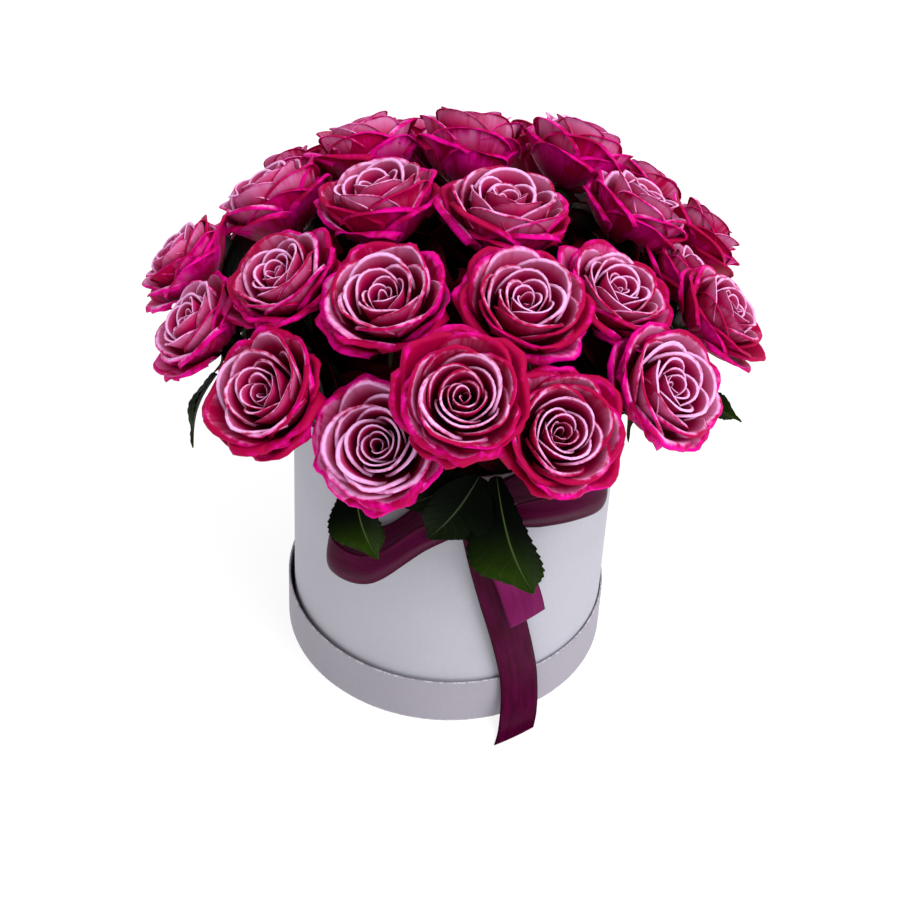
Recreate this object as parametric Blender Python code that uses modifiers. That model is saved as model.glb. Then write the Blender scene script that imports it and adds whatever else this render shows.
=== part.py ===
"""A round hat box of roses: a cardboard box standing in its own lid, floral foam, 25 roses, a satin bow.

Metres, +Z up. The origin is the centre of the lid's underside, and the front of the box is -Y.
Places around the box are given as an azimuth in degrees, from the front towards the right,
a distance from the middle axis and a height.
"""

import math

import bmesh
import bpy
from mathutils import Matrix, Vector

GAP = 0.0003
ROUND_STEPS = 48

# The lid is turned up and carries the box
LID_RADIUS = 0.1000
LID_HEIGHT = 0.0340
LID_WALL = 0.0012
LID_PANEL = 0.0020

# The box leans against the right side of the lid
BOX_RADIUS = 0.0972
BOX_WALL = 0.0018
BOX_PANEL = 0.0020
BOX_TOP = 0.2000
BOX_SHIFT = 0.0010

LINER_WALL = 0.0006
LINER_TOP = 0.1920
FOAM_TOP = 0.1650
FOAM_ROUNDING = 0.0060

# A rose stands on a foam ring, and its stem runs straight until it is clear of the foam
FOAM_RINGS = {"edge": 0.0760, "outer": 0.0560, "inner": 0.0340, "middle": 0.0130}
STEM_RADIUS = 0.0026
STEM_FOOT = 0.1050
STEM_SLANT = 0.18
STEM_BEND = 0.1990
STEM_HANDLE = 0.0260
STEM_CLEARANCE = 0.0006
HIP_RADIUS = 0.0062
HIP_LENGTH = 0.0090
SEPALS = 5
SEPAL_LENGTH = 0.56
SEPAL_DROOP = 30.0
SEPAL_RADIUS = 0.0030
HEAD_FOCUS = 0.1000

# name, azimuth, distance, height, head diameter, turn of the petals, foam ring
ROSES = (
    ("rose_01", -20, 0.120, 0.236, 0.064, 20, "edge"),
    ("rose_02", 2, 0.125, 0.284, 0.064, 200, "outer"),
    ("rose_03", 27, 0.129, 0.254, 0.064, 100, "edge"),
    ("rose_04", -50, 0.138, 0.248, 0.067, 290, "edge"),
    ("rose_05", 61, 0.136, 0.248, 0.066, 60, "edge"),
    ("rose_06", -40, 0.066, 0.289, 0.065, 140, "inner"),
    ("rose_07", 34, 0.064, 0.293, 0.066, 250, "inner"),
    ("rose_08", -80, 0.104, 0.274, 0.057, 10, "outer"),
    ("rose_09", 78, 0.090, 0.277, 0.055, 330, "inner"),
    ("rose_10", -85, 0.153, 0.233, 0.051, 80, "edge"),
    ("rose_11", 91, 0.152, 0.249, 0.051, 180, "edge"),
    ("rose_12", 109, 0.144, 0.239, 0.045, 40, "edge"),
    ("rose_13", -104, 0.170, 0.239, 0.050, 270, "edge"),
    ("rose_14", -129, 0.066, 0.289, 0.068, 120, "inner"),
    ("rose_15", 142, 0.037, 0.295, 0.070, 220, "middle"),
    ("rose_16", -124, 0.140, 0.259, 0.062, 350, "outer"),
    ("rose_17", 126, 0.128, 0.267, 0.056, 30, "outer"),
    ("rose_18", 124, 0.173, 0.237, 0.047, 160, "edge"),
    ("rose_19", -152, 0.136, 0.271, 0.058, 280, "outer"),
    ("rose_20", 180, 0.128, 0.273, 0.065, 70, "outer"),
    ("rose_21", 152, 0.142, 0.273, 0.060, 190, "outer"),
    ("rose_22", -142, 0.174, 0.231, 0.050, 310, "edge"),
    ("rose_23", -168, 0.178, 0.231, 0.054, 110, "edge"),
    ("rose_24", 165, 0.182, 0.232, 0.053, 230, "edge"),
    ("rose_25", 142, 0.176, 0.233, 0.052, 330, "edge"),
)

# A bloom is one pleated sheet that winds out from the bud, with a fold between neighbouring petals.
# Petal rings, in shares of the head's radius:
# petals, foot radius, lip radius, lip height, half angle, roll of the lip, cells across a petal
PETAL_RINGS = (
    (3, 0.13, 0.66, 0.48, 66, 0.04, 2),
    (5, 0.20, 1.00, 0.14, 46, 0.08, 3),
)
PETAL_THICKNESS = 0.0008
PETAL_FOOT = -0.86
PETAL_TUCK = 0.07
PETAL_ROWS = 2
# The rolled bud: turns, cells, inner and outer radius, height
BUD = (1.1, 5, 0.10, 0.38, 0.62)

# Serrated leaves: rose they grow on, stalk base and tip (x, y, z), half width
LEAF_THICKNESS = 0.0008
LEAF_ROWS = 6
STALK_RADII = (0.0013, 0.0011, 0.0009)
LEAVES = (
    ("rose_03", (0.027, -0.112, 0.207), (0.047, -0.137, 0.148), 0.0160),
    ("rose_02", (0.006, -0.110, 0.211), (-0.014, -0.135, 0.178), 0.0145),
    ("rose_01", (-0.060, -0.107, 0.204), (-0.048, -0.124, 0.162), 0.0160),
    ("rose_10", (-0.138, -0.030, 0.207), (-0.150, -0.056, 0.170), 0.0150),
    ("rose_05", (0.136, -0.036, 0.212), (0.176, -0.050, 0.211), 0.0140),
    ("rose_23", (-0.050, 0.132, 0.198), (-0.066, 0.150, 0.150), 0.0170),
    ("rose_24", (0.030, 0.134, 0.199), (0.024, 0.158, 0.152), 0.0160),
    ("rose_22", (-0.128, 0.082, 0.200), (-0.158, 0.080, 0.168), 0.0150),
)

# The bow lies against the wall at the top of the front
RIBBON_WIDTH = 0.0250
RIBBON_THICKNESS = 0.0008
WALL_LINE = BOX_RADIUS + BOX_SHIFT + GAP
KNOT_AZIMUTH = 9.0
KNOT_HEIGHT = 0.1860
KNOT_SIZE = (0.0150, 0.0110, 0.0230)
LOOP_DEPTH = 0.0290
# (azimuth reached, (height at a third, at two thirds and at the end))
LEFT_LOOP = (-36.0, (0.1760, 0.1490, 0.1400))
RIGHT_LOOP = (56.0, (0.1860, 0.1770, 0.1680))
# (azimuth, distance, height) of each tail's middle line, and how far its left edge runs on at the end
LONG_TAIL = (
    (10.0, 0.1040, 0.1735),
    (14.0, 0.1040, 0.1380),
    (18.5, 0.1030, 0.1050),
    (22.5, 0.1025, 0.0780),
    (26.0, 0.1020, 0.0520),
    (28.0, 0.1020, 0.0330),
    (28.0, 0.1050, 0.0160),
    (26.0, 0.1120, 0.0040),
    (23.0, 0.1210, 0.0015),
)
SHORT_TAIL = (
    (11.0, 0.1075, 0.1735),
    (17.0, 0.1100, 0.1500),
    (22.0, 0.1110, 0.1240),
    (26.5, 0.1115, 0.0930),
)


def around(azimuth, distance, height):
    """Point at an azimuth in degrees, a distance from the middle axis and a height."""
    angle = math.radians(azimuth)
    return Vector((distance * math.sin(angle), -distance * math.cos(angle), height))


def material(name, colour, roughness, metallic=0.0):
    """Principled material with one colour."""
    new = bpy.data.materials.new(name)
    new.use_nodes = True
    shader = new.node_tree.nodes["Principled BSDF"]
    shader.inputs["Base Color"].default_value = (*colour, 1.0)
    shader.inputs["Roughness"].default_value = roughness
    shader.inputs["Metallic"].default_value = metallic
    new.diffuse_color = (*colour, 1.0)
    return new


def add_object(name, mesh, collection, mat=None):
    """Link a mesh as a new object."""
    new = bpy.data.objects.new(name, mesh)
    collection.objects.link(new)
    if mat:
        mesh.materials.clear()
        mesh.materials.append(mat)
    return new


def baked(obj):
    """Mesh of an object with its modifiers applied and its caps welded."""
    depsgraph = bpy.context.evaluated_depsgraph_get()
    mesh = bpy.data.meshes.new_from_object(obj.evaluated_get(depsgraph))
    bm = bmesh.new()
    bm.from_mesh(mesh)
    bmesh.ops.remove_doubles(bm, verts=bm.verts, dist=1e-6)
    bm.to_mesh(mesh)
    bm.free()
    return mesh


def fuse(body, pieces):
    """One closed body from an object and a collection of closed pieces."""
    modifier = body.modifiers.new("Union", "BOOLEAN")
    modifier.operation = "UNION"
    modifier.operand_type = "COLLECTION"
    modifier.collection = pieces
    modifier.solver = "MANIFOLD"
    mesh = baked(body)
    body.modifiers.clear()
    body.data = mesh
    for piece in list(pieces.objects):
        bpy.data.objects.remove(piece)
    bpy.data.collections.remove(pieces)


def scratch_collection():
    """Collection for the pieces of one fused body."""
    new = bpy.data.collections.new("pieces")
    bpy.context.scene.collection.children.link(new)
    return new


def sheet_mesh(name, across, along, place):
    """Grid of quads whose points place(u, v) sets, with u from -1 to 1 and v from 0 to 1, in triangles."""
    bm = bmesh.new()
    bmesh.ops.create_grid(bm, x_segments=across, y_segments=along, size=1.0)
    for vertex in bm.verts:
        vertex.co = place(vertex.co.x, (vertex.co.y + 1) / 2)
    bmesh.ops.triangulate(bm, faces=bm.faces)
    mesh = bpy.data.meshes.new(name)
    bm.to_mesh(mesh)
    bm.free()
    return mesh


def add_sheet(name, collection, across, along, place, thickness, mat=None):
    """Closed sheet of even thickness around a deformed grid."""
    sheet = add_object(name, sheet_mesh(name, across, along, place), collection, mat)
    solid = sheet.modifiers.new("Thickness", "SOLIDIFY")
    solid.thickness = thickness
    solid.offset = 0.0
    return sheet


def turned(name, profile, collection, mat):
    """Round piece from (radius, height) points that run down its outer side."""
    bm = bmesh.new()
    points = [bm.verts.new((radius, 0.0, height)) for radius, height in profile]
    for first, second in zip(points, points[1:]):
        bm.edges.new((first, second))
    mesh = bpy.data.meshes.new(name)
    bm.to_mesh(mesh)
    bm.free()
    piece = add_object(name, mesh, collection, mat)
    screw = piece.modifiers.new("Turn", "SCREW")
    screw.steps = ROUND_STEPS
    screw.render_steps = ROUND_STEPS
    screw.use_merge_vertices = True
    screw.merge_threshold = 1e-5
    return piece


def make_box(collection):
    """Lid, box and waterproof liner, each a cup with a flat floor."""
    card = material("lilac_card", (0.50, 0.48, 0.55), 0.75)
    film = material("liner_film", (0.80, 0.82, 0.84), 0.35)
    turned("lid", (
        (0.0, LID_PANEL), (LID_RADIUS - LID_WALL, LID_PANEL), (LID_RADIUS - LID_WALL, LID_HEIGHT),
        (LID_RADIUS, LID_HEIGHT), (LID_RADIUS, 0.0), (0.0, 0.0)), collection, card)
    floor = LID_PANEL + GAP
    inner = BOX_RADIUS - BOX_WALL
    box = turned("box", (
        (0.0, floor + BOX_PANEL), (inner, floor + BOX_PANEL), (inner, BOX_TOP),
        (BOX_RADIUS, BOX_TOP), (BOX_RADIUS, floor), (0.0, floor)), collection, card)
    box.location.x = BOX_SHIFT
    liner_floor = floor + BOX_PANEL + GAP
    skin = inner - 2 * GAP
    liner = turned("liner", (
        (0.0, liner_floor + LINER_WALL), (skin - LINER_WALL, liner_floor + LINER_WALL),
        (skin - LINER_WALL, LINER_TOP), (skin, LINER_TOP), (skin, liner_floor), (0.0, liner_floor)),
        collection, film)
    liner.location.x = BOX_SHIFT
    return liner_floor + LINER_WALL + GAP, skin - LINER_WALL - 2 * GAP


def stem_line(azimuth, ring):
    """Foot of a stem in the foam and the point where its straight run ends."""
    radius = FOAM_RINGS[ring]
    rise = FOAM_TOP - STEM_FOOT
    foot = around(azimuth, radius * (1 - STEM_SLANT), STEM_FOOT)
    bend = around(azimuth, radius * (1 + STEM_SLANT * (STEM_BEND - FOAM_TOP) / rise), STEM_BEND)
    return foot, bend


def make_foam(floor, radius, collection, cutters):
    """Foam block that fills the liner, with a plain hole for each stem."""
    foam = turned("foam", (
        (0.0, FOAM_TOP), (radius - FOAM_ROUNDING, FOAM_TOP), (radius, FOAM_TOP - FOAM_ROUNDING),
        (radius, floor), (0.0, floor)), collection, material("floral_foam", (0.05, 0.16, 0.06), 0.95))
    foam.location.x = BOX_SHIFT
    for name, azimuth, _, _, _, _, ring in ROSES:
        foot, bend = stem_line(azimuth, ring)
        direction = (bend - foot).normalized()
        start = foot - direction * GAP
        bm = bmesh.new()
        bmesh.ops.create_cone(
            bm, cap_ends=True, segments=6, radius1=STEM_RADIUS + STEM_CLEARANCE,
            radius2=STEM_RADIUS + STEM_CLEARANCE, depth=(bend - start).length)
        mesh = bpy.data.meshes.new(name)
        turn = direction.to_track_quat("Z", "Y").to_matrix().to_4x4()
        bm.transform(Matrix.Translation((start + bend) / 2) @ turn)
        bm.to_mesh(mesh)
        bm.free()
        cutter = add_object(f"hole_{name}", mesh, cutters)
        cutter.hide_render = True
        cutter.display_type = "WIRE"
    cut = foam.modifiers.new("Holes", "BOOLEAN")
    cut.operation = "DIFFERENCE"
    cut.operand_type = "COLLECTION"
    cut.collection = cutters
    cut.solver = "MANIFOLD"


def head_frame(azimuth, distance, height):
    """Centre of a rose's head and the way it faces, away from a point inside the box."""
    centre = around(azimuth, distance, height)
    axis = (centre - Vector((0.0, 0.0, HEAD_FOCUS))).normalized()
    return centre, axis


def tube(name, points, radii, collection, mat=None, resolution=1):
    """Round rod along points with a radius at each."""
    curve = bpy.data.curves.new(name, "CURVE")
    curve.dimensions = "3D"
    curve.bevel_depth = 1.0
    curve.bevel_resolution = resolution
    curve.use_fill_caps = True
    spline = curve.splines.new("POLY")
    spline.points.add(len(points) - 1)
    for target, point, radius in zip(spline.points, points, radii):
        target.co = (*point, 1.0)
        target.radius = radius
    guide = bpy.data.objects.new(name, curve)
    collection.objects.link(guide)
    rod = add_object(name, baked(guide), collection, mat)
    bpy.data.objects.remove(guide)
    rod.name = name
    return rod


def add_leaf(name, base, tip, half_width, pieces):
    """Serrated leaf, folded a little along its midrib and bent down to its tip."""
    run = tip - base
    side = run.cross(Vector((base.x, base.y, 0.0))).normalized()
    face = side.cross(run).normalized()

    def place(u, v):
        outline = math.sin(math.pi * min(0.96, 0.06 + 0.94 * v) ** 0.85) ** 0.8
        teeth = 1.0 + (0.10 if round(v * LEAF_ROWS) % 2 else -0.04) * abs(u)
        bow = 0.10 * run.length * math.sin(math.pi * v)
        fold = 0.22 * half_width * abs(u) * outline
        return base + run * v + side * (u * half_width * outline * teeth) + face * (bow + fold)

    add_sheet(name, pieces, 2, LEAF_ROWS, place, LEAF_THICKNESS)


def make_stem(name, azimuth, distance, height, size, ring, collection, mat):
    """Stem, rose hip, sepals and the leaves of one rose in one body."""
    centre, axis = head_frame(azimuth, distance, height)
    foot, bend = stem_line(azimuth, ring)
    rise = (bend - foot).normalized()
    top = centre + axis * (PETAL_FOOT * size / 2 - GAP - PETAL_THICKNESS / 2)
    collar = top - axis * HIP_LENGTH
    handles = (bend, bend + rise * STEM_HANDLE, collar - axis * STEM_HANDLE, collar)
    points = [foot, bend]
    for step in (0.45, 1.0):
        back = 1 - step
        points.append(handles[0] * back ** 3 + handles[1] * 3 * back ** 2 * step
                      + handles[2] * 3 * back * step ** 2 + handles[3] * step ** 3)
    points += [top - axis * HIP_LENGTH * 0.45, top]
    radii = [STEM_RADIUS] * 4 + [HIP_RADIUS * 0.95, HIP_RADIUS]
    stem = tube(f"{name}_stem", points, radii, collection, mat)
    pieces = scratch_collection()
    turn = axis.to_track_quat("Z", "Y").to_matrix().to_4x4()
    for index in range(SEPALS):
        length = SEPAL_LENGTH * size / 2
        bm = bmesh.new()
        bmesh.ops.create_cone(
            bm, cap_ends=True, segments=3, radius1=SEPAL_RADIUS, radius2=0.0, depth=length)
        bmesh.ops.translate(bm, verts=bm.verts, vec=(0.0, 0.0, length / 2))
        spread = (Matrix.Rotation(math.tau * index / SEPALS, 4, "Z")
                  @ Matrix.Rotation(math.radians(90 + SEPAL_DROOP), 4, "Y"))
        bm.transform(Matrix.Translation(top - axis * HIP_LENGTH * 0.5) @ turn @ spread)
        mesh = bpy.data.meshes.new("sepal")
        bm.to_mesh(mesh)
        bm.free()
        add_object("sepal", mesh, pieces)
    for owner, base, tip, half_width in LEAVES:
        if owner == name:
            base, tip = Vector(base), Vector(tip)
            add_leaf("leaf", base, tip, half_width, pieces)
            tube("stalk", (points[2], base, base.lerp(tip, 0.12)), STALK_RADII, pieces, resolution=0)
    fuse(stem, pieces)


def bloom_columns():
    """Columns of the pleated sheet, from the bud outwards: angle, foot, lip, lip height, roll and crest."""
    turns, cells, inner, outer, top = BUD
    columns = []
    for index in range(cells + 1):
        share = index / cells
        reach = inner + (outer - inner) * share
        columns.append((math.tau * turns * share, 0.05 + 0.05 * share, reach, top - 0.08 * share, 0.0, 1.0))
    for count, foot, lip, lip_height, half_angle, roll, cells in PETAL_RINGS:
        half = math.radians(half_angle)
        first = columns[-1][0] + half
        for petal in range(count):
            middle = first + math.tau * petal / count
            for index in range(cells + 1):
                u = 2 * index / cells - 1
                tuck = 1 + PETAL_TUCK * u
                crest = 1 - 0.20 * u ** 4
                columns.append((middle + half * u, foot * tuck, lip * tuck, lip_height, roll, crest))
    return columns


def bloom_place(radius):
    """Function that puts the point (u, v) of the pleated sheet in the head's own frame."""
    columns = bloom_columns()

    def place(u, v):
        angle, foot, lip, lip_height, roll, crest = columns[round((u + 1) / 2 * (len(columns) - 1))]
        rise = v * crest
        reach = foot + (lip - foot) * (1 - (1 - rise) ** 2.4) + roll * rise ** 6
        height = PETAL_FOOT + (lip_height - PETAL_FOOT) * rise ** 1.15 - 0.4 * roll * rise ** 8
        return radius * Vector((reach * math.cos(angle), reach * math.sin(angle), height))

    return place, len(columns) - 1


def make_bloom(name, azimuth, distance, height, size, spin, collection, mat):
    """Head of one rose, with all its petals in one body."""
    place, cells = bloom_place(size / 2)
    bloom = add_sheet(f"{name}_bloom", collection, cells, PETAL_ROWS, place, PETAL_THICKNESS, mat)
    centre, axis = head_frame(azimuth, distance, height)
    turn = axis.to_track_quat("Z", "Y").to_matrix().to_4x4()
    bloom.matrix_world = Matrix.Translation(centre) @ turn @ Matrix.Rotation(math.radians(spin), 4, "Z")


def loop_place(end_azimuth, heights):
    """Function for one bow loop: out along the wall, round the end and back to the knot in front."""
    levels = (KNOT_HEIGHT, *heights)

    def place(u, v):
        around_loop = 0.015 + 0.97 * v
        share = math.sin(math.pi * around_loop)
        depth = LOOP_DEPTH * math.sin(math.pi * around_loop / 2) ** 2 * (0.55 + 0.45 * share)
        section = min(2, int(share * 3))
        blend = share * 3 - section
        level = levels[section] * (1 - blend) + levels[section + 1] * blend
        azimuth = KNOT_AZIMUTH + (end_azimuth - KNOT_AZIMUTH) * share
        spread = 0.55 + 0.45 * min(1.0, share * 2.5)
        return around(azimuth, WALL_LINE + 0.0008 + depth, level + u * RIBBON_WIDTH / 2 * spread)

    return place


def tail_place(line, slant):
    """Function for one ribbon tail along its middle line, with its end cut on a slant."""

    def place(u, v):
        step = v * (len(line) - 1)
        section = min(len(line) - 2, int(step))
        blend = step - section
        azimuth, distance, height = (
            a * (1 - blend) + b * blend for a, b in zip(line[section], line[section + 1]))
        turn = math.degrees(RIBBON_WIDTH / 2 / distance)
        point = around(azimuth + u * turn, distance, height)
        down = around(line[-1][0], line[-1][1], line[-1][2]) - around(*line[-2])
        return point - down.normalized() * (u * slant * v ** 6)

    return place


def make_bow(collection):
    """Knot with two loops, and the two tails that hang from it."""
    satin = material("plum_satin", (0.105, 0.002, 0.030), 0.38)
    bm = bmesh.new()
    bmesh.ops.create_cube(bm, size=1.0)
    bmesh.ops.scale(bm, verts=bm.verts, vec=KNOT_SIZE)
    bmesh.ops.bevel(bm, geom=bm.edges, offset=0.0030, segments=1, profile=0.5, affect="EDGES")
    middle = around(KNOT_AZIMUTH, WALL_LINE + KNOT_SIZE[1] / 2 + 0.0004, KNOT_HEIGHT)
    bm.transform(Matrix.Translation(middle) @ Matrix.Rotation(math.radians(KNOT_AZIMUTH), 4, "Z"))
    mesh = bpy.data.meshes.new("bow")
    bm.to_mesh(mesh)
    bm.free()
    bow = add_object("bow", mesh, collection, satin)
    pieces = scratch_collection()
    for end_azimuth, heights in (LEFT_LOOP, RIGHT_LOOP):
        add_sheet("loop", pieces, 1, 14, loop_place(end_azimuth, heights), RIBBON_THICKNESS)
    fuse(bow, pieces)
    add_sheet("long_tail", collection, 1, 16, tail_place(LONG_TAIL, 0.003), RIBBON_THICKNESS, satin)
    add_sheet("short_tail", collection, 1, 6, tail_place(SHORT_TAIL, -0.008), RIBBON_THICKNESS, satin)


def build():
    """Whole rose box."""
    for old in list(bpy.data.objects):
        bpy.data.objects.remove(old)
    scene = bpy.context.scene.collection
    rose_box = bpy.data.collections.new("rose_box")
    cutters = bpy.data.collections.new("cutters")
    scene.children.link(rose_box)
    scene.children.link(cutters)
    floor, radius = make_box(rose_box)
    make_foam(floor, radius, rose_box, cutters)
    petal = material("rose_petal", (0.55, 0.09, 0.28), 0.55)
    green = material("rose_green", (0.020, 0.060, 0.012), 0.60)
    for name, azimuth, distance, height, size, spin, ring in ROSES:
        make_stem(name, azimuth, distance, height, size, ring, rose_box, green)
        make_bloom(name, azimuth, distance, height, size, spin, rose_box, petal)
    make_bow(rose_box)


build()
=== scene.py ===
# %% [markdown]
# # A round box of roses
# The object is a cardboard hat box that stands in its own lid. Twenty-five roses stand in floral foam
# inside it, and a satin bow hangs at the front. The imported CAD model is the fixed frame: it gives every
# place and size, and this script gives each part the shape and finish of the real thing.

# %% The frame
import math
import random

import bmesh
import bpy
from mathutils import Matrix, Vector


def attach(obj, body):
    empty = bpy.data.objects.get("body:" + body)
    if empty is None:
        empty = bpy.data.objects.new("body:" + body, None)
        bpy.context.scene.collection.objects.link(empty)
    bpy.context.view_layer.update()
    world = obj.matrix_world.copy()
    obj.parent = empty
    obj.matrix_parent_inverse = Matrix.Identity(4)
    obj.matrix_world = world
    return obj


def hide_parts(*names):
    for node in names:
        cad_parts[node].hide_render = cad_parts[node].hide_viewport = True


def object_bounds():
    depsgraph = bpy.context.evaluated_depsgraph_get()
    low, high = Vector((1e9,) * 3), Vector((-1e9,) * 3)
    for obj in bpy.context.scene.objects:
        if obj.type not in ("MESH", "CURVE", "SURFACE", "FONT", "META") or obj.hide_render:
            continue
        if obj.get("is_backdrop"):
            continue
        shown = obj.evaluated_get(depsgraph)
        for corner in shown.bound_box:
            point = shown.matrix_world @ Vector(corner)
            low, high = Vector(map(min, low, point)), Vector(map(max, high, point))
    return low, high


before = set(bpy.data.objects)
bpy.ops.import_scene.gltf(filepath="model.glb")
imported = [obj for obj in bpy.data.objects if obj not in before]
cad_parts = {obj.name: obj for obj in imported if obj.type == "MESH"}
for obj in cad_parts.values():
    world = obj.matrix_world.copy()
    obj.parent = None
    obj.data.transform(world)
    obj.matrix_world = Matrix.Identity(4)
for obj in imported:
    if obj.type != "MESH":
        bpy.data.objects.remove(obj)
CAD_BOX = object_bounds()
print("the frame has", len(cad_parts), "nodes")

# %% [markdown]
# ## Places
# The arrangement is round, so a place is easiest to give as an azimuth from the front, a distance from the
# middle axis and a height. Small functions do most of the shaping, so that no piece needs a long list of
# points.


# %% Places and soft steps
def around(azimuth, distance, height):
    """Point at an azimuth in degrees, a distance from the middle axis and a height."""
    angle = math.radians(azimuth)
    return Vector((distance * math.sin(angle), -distance * math.cos(angle), height))


def between(low, high, share):
    """Value part of the way from low to high."""
    return low + (high - low) * share


def smooth(low, high, value):
    """0 below low, 1 above high and a soft rise between them."""
    share = min(1.0, max(0.0, (value - low) / (high - low)))
    return share * share * (3 - 2 * share)


def along(points, share):
    """Point at a share of the way along a smooth line through several points."""
    step = share * (len(points) - 1)
    index = min(len(points) - 2, int(step))
    t = step - index
    a = Vector(points[max(0, index - 1)])
    b = Vector(points[index])
    c = Vector(points[index + 1])
    d = Vector(points[min(len(points) - 1, index + 2)])
    return b + 0.5 * t * ((c - a) + t * ((2 * a - 5 * b + 4 * c - d) + t * (3 * b - a - 3 * c + d)))


def facing(way):
    """Turn that points a shape's own Z along a direction."""
    return way.to_track_quat("Z", "Y").to_matrix().to_4x4()


# %% [markdown]
# ## Pieces from meshes
# Most of the real object is thin sheet: petals, sepals, leaves and ribbon. Each could be drawn point by
# point, but a flat grid that a function bends keeps its faces even and brings its own map. A place function
# takes u from -1 to 1 across the sheet and v from 0 to 1 along it. Objects stay at the origin, like the
# nodes of the frame.


# %% Grids and pieces
def bent_grid(bm, across, rows, place, maps, skin=0):
    """Grid bent by place(u, v); maps pairs each UV layer with its own function of u and v."""
    start = len(bm.faces)
    bmesh.ops.create_grid(bm, x_segments=across, y_segments=rows, size=1.0)
    bm.faces.ensure_lookup_table()
    faces = bm.faces[start:]
    for face in faces:
        face.material_index = skin
        for loop in face.loops:
            u, v = loop.vert.co.x, (loop.vert.co.y + 1) / 2
            for layer, spot in maps:
                loop[layer].uv = spot(u, v)
    for vertex in {vertex for face in faces for vertex in face.verts}:
        vertex.co = place(vertex.co.x, (vertex.co.y + 1) / 2)


def add_thickness(piece, thickness):
    """Wall of an even thickness, half of it on each side of the sheet."""
    wall = piece.modifiers.new("Thickness", "SOLIDIFY")
    wall.thickness = thickness
    wall.offset = 0.0
    return wall


def new_object(name, data):
    """Object of a mesh, lamp or camera, linked to the scene."""
    made = bpy.data.objects.new(name, data)
    bpy.context.scene.collection.objects.link(made)
    return made


def new_mesh(name, bm, materials):
    """Mesh from a finished bmesh."""
    mesh = bpy.data.meshes.new(name)
    bm.to_mesh(mesh)
    bm.free()
    for material in materials:
        mesh.materials.append(material)
    return mesh


def add_piece(name, bm, materials):
    """Smooth piece from a finished bmesh, riding on the root body."""
    mesh = new_mesh(name, bm, materials)
    mesh.shade_smooth()
    piece = new_object(name, mesh)
    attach(piece, "root")
    return piece


# %% [markdown]
# ## Building materials with nodes
# Every finish here is a Principled shader with a pattern in front of it. These helpers add a node, fill
# its inputs and hand back the output to use next.


# %% Node helpers
def new_material(name, roughness, gloss=0.5):
    """Material with its node tree and Principled shader."""
    material = bpy.data.materials.new(name)
    material.use_nodes = True
    shader = material.node_tree.nodes["Principled BSDF"]
    shader.inputs["Roughness"].default_value = roughness
    shader.inputs["Specular IOR Level"].default_value = gloss
    return material, material.node_tree, shader


def add_node(tree, kind, inputs=None, **settings):
    """One node with its settings and its inputs, which are values or sockets to join."""
    node = tree.nodes.new(kind)
    for key, value in settings.items():
        setattr(node, key, value)
    for key, value in (inputs or {}).items():
        if isinstance(value, bpy.types.NodeSocket):
            tree.links.new(value, node.inputs[key])
        else:
            node.inputs[key].default_value = value
    return node


def maths(tree, operation, first, second=0.0, third=0.0):
    """Maths on values or sockets."""
    inputs = {0: first, 1: second, 2: third}
    return add_node(tree, "ShaderNodeMath", inputs, operation=operation).outputs[0]


def soft_step(tree, value, low, high, start=0.0, end=1.0):
    """Smooth change from start to end while a value goes from low to high."""
    inputs = {"Value": value, "From Min": low, "From Max": high, "To Min": start, "To Max": end}
    return add_node(tree, "ShaderNodeMapRange", inputs, interpolation_type="SMOOTHSTEP").outputs[0]


def mix(tree, share, first, second):
    """Mix of two colours, given as sockets or as red, green and blue."""
    first, second = [(*value, 1.0) if isinstance(value, tuple) else value for value in (first, second)]
    inputs = {0: share, 6: first, 7: second}
    return add_node(tree, "ShaderNodeMix", inputs, data_type="RGBA").outputs[2]


def noise(tree, at, scale, detail=2.0):
    """Noise between 0 and 1."""
    inputs = {"Vector": at, "Scale": scale, "Detail": detail}
    return add_node(tree, "ShaderNodeTexNoise", inputs).outputs[0]


def new_group(name, inputs):
    """Node group and what it is given by name, each with a usual value."""
    group = bpy.data.node_groups.new(name, "ShaderNodeTree")
    for key, usual in inputs.items():
        socket = group.interface.new_socket(key, in_out="INPUT", socket_type="NodeSocketFloat")
        socket.default_value = usual
    return group, group.nodes.new("NodeGroupInput").outputs


def finish_group(group, **outputs):
    """The group, with its outputs made and joined."""
    for key in outputs:
        group.interface.new_socket(key, in_out="OUTPUT", socket_type="NodeSocketFloat")
    out = group.nodes.new("NodeGroupOutput")
    for key, value in outputs.items():
        group.links.new(value, out.inputs[key])
    print(group.name, "puts out", list(outputs))
    return group


def place_of(tree, uv_map=None):
    """Object coordinates, or a piece's own map, as one vector and its three parts."""
    if uv_map:
        at = add_node(tree, "ShaderNodeUVMap", uv_map=uv_map).outputs[0]
    else:
        at = add_node(tree, "ShaderNodeTexCoord").outputs["Object"]
    return at, add_node(tree, "ShaderNodeSeparateXYZ", {0: at}).outputs


def stretched(tree, x, y, z):
    """Vector put together from three values."""
    return add_node(tree, "ShaderNodeCombineXYZ", {0: x, 1: y, 2: z}).outputs[0]


def finish_surface(tree, shader, colour, height, strength, distance):
    """Colour and bump of a finished surface."""
    tree.links.new(colour, shader.inputs["Base Color"])
    inputs = {"Height": height, "Strength": strength, "Distance": distance}
    bump = add_node(tree, "ShaderNodeBump", inputs)
    tree.links.new(bump.outputs[0], shader.inputs["Normal"])


# %% [markdown]
# ## The card of the box
# The box is grey board wrapped in matt lilac paper. Paper shows three things close up: a fine tooth that
# takes the shine away, slightly lighter and darker fibres, and paler wear where hands and shelves rub the
# rims. A picture of paper would show a seam, and noise at three sizes has none. The grain is a node group,
# because the lid, the box and the floor all have some of it.


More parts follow.
